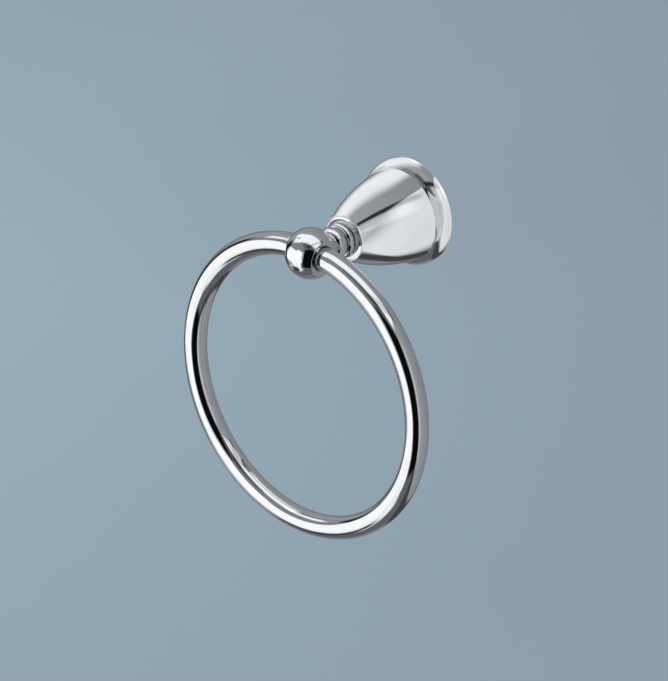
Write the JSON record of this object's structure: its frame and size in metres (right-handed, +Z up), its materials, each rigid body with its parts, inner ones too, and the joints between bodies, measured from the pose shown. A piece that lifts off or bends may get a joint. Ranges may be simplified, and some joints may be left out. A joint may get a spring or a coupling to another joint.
{
  "type": "towel ring",
  "caption": "Chrome wall towel ring: bell-shaped post on a round flange, beaded neck and drilled ball end, with a round tubular ring that swings in the ball.",
  "frame": {"origin": "middle of the round flange, on the wall plane", "axes": "+Y into the wall, the object stands out along -Y, +Z up, +X to the right seen from the room"},
  "size_m": [0.162, 0.1047, 0.1828],
  "materials": {
    "ring_chrome": "polished",
    "ball_chrome": "polished",
    "post_chrome": "polished",
    "plated_steel": "satin",
    "spring_steel": "satin",
    "black_steel": "black oxide"
  },
  "bodies": {
    "post": {"post_shell": "post_chrome", "ball_end": "ball_chrome", "wall_bracket": "plated_steel", "ball_screw": "plated_steel", "lock_washer": "spring_steel", "set_screw": "black_steel", "wall_screw_upper": "plated_steel", "wall_screw_lower": "plated_steel"},
    "hanging_ring": {"ring": "ring_chrome"}
  },
  "joints": [
    {"name": "ring_swing", "type": "hinge", "parent": "post", "child": "hanging_ring", "pos_m": [0, -0.0743, 0], "axis": [1, 0, 0], "range_deg": [-207, 27]}
  ]
}
